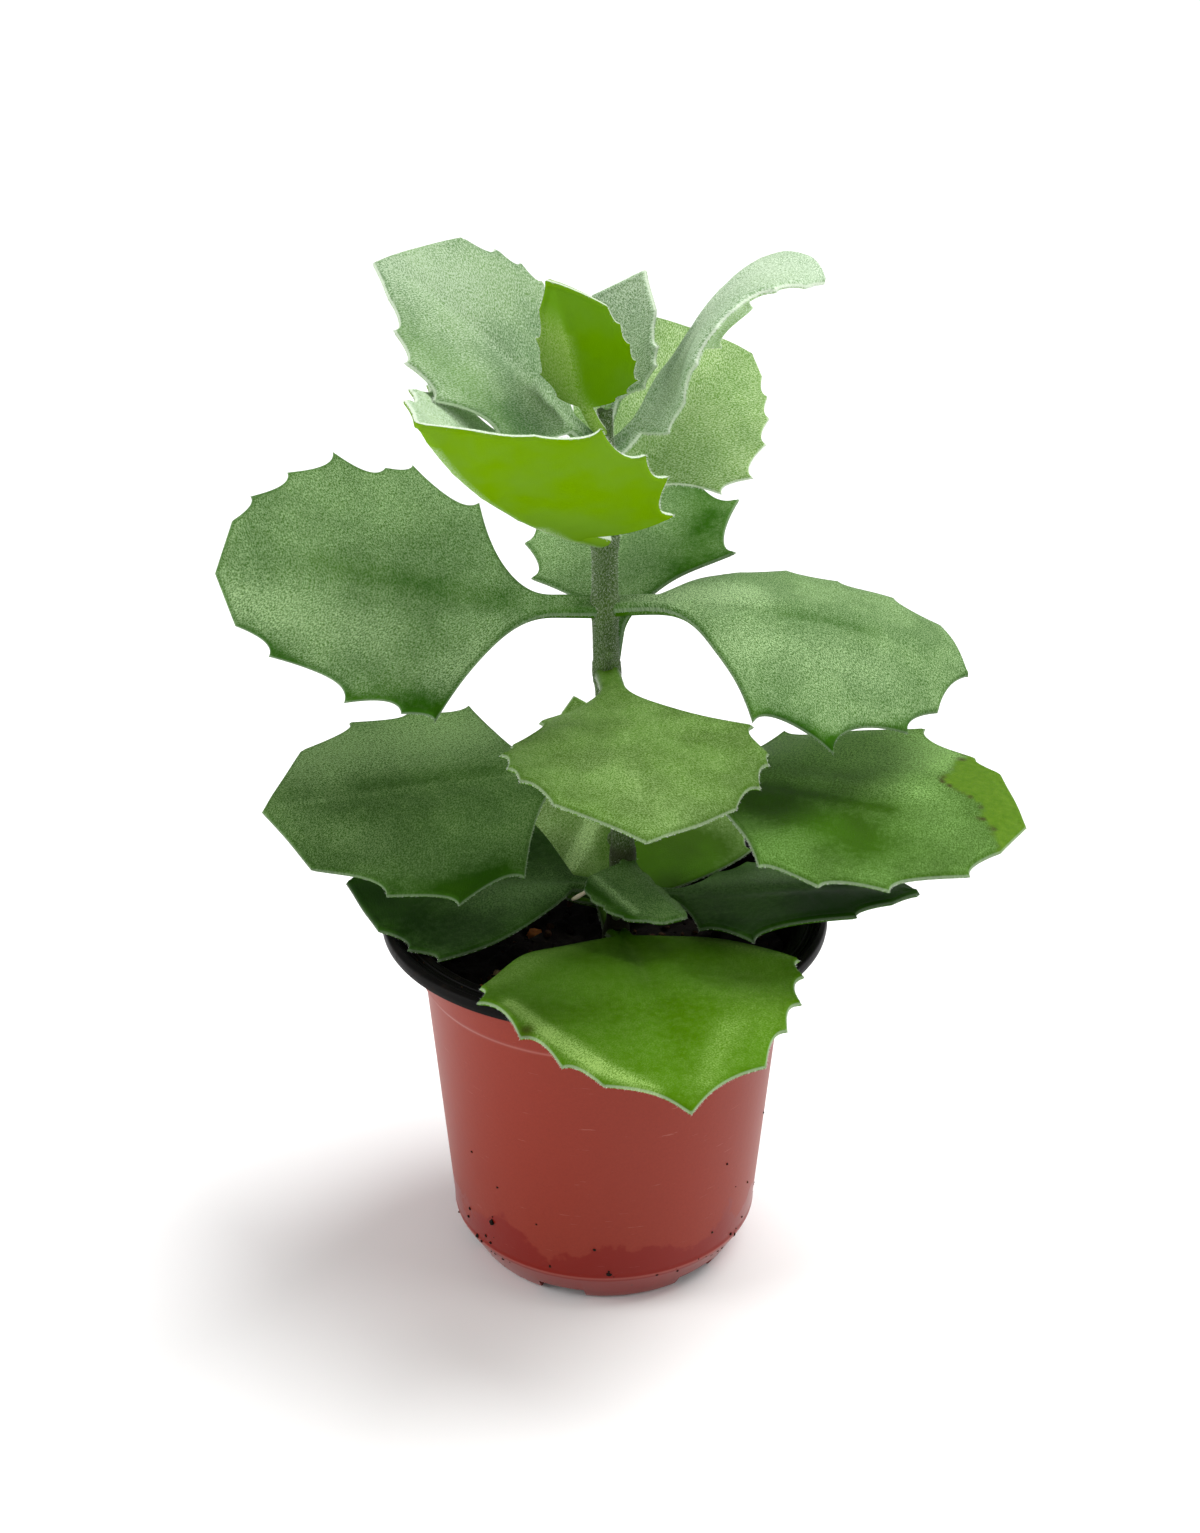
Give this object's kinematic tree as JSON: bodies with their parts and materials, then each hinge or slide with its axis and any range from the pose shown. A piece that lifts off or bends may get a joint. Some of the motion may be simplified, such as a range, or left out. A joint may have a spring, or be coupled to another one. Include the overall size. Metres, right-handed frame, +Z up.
{
  "type": "potted kalanchoe",
  "caption": "Young felt-leaved kalanchoe with toothed leaves in opposite pairs on one upright stem, growing in soil in a round tapered nursery pot.",
  "frame": {"origin": "middle of the pot's flat underside, on the surface it stands on", "axes": "+Z up along the pot's axis and the stem, -Y towards the viewer of the picture, +X to the viewer's right"},
  "size_m": [0.1734, 0.1439, 0.2359],
  "materials": {
    "pot": "satin brick-red plastic outside, matt black inside and on the rim",
    "soil": "damp dark potting mix with fired-clay grit",
    "stem": "green-grey felted stem, brown at its scars",
    "leaf": "fleshy green leaf with short grey felt",
    "young_leaf": "young grey-mint leaf with dense pale felt"
  },
  "bodies": {
    "root": {"pot": "pot", "soil": "soil", "stem": "stem", "leaf_a_left": "leaf", "leaf_a_right": "leaf", "leaf_b_front": "young_leaf", "leaf_b_back": "young_leaf", "leaf_c_front": "leaf", "leaf_c_back": "leaf", "leaf_d_left": "young_leaf", "leaf_d_right": "young_leaf", "leaf_e_front": "young_leaf", "leaf_e_back": "young_leaf", "leaf_f_left": "leaf", "leaf_f_right": "leaf", "leaf_g_front": "leaf", "leaf_h_left": "leaf", "leaf_h_right": "leaf", "leaf_i_front": "leaf", "leaf_i_back": "leaf"}
  },
  "joints": []
}
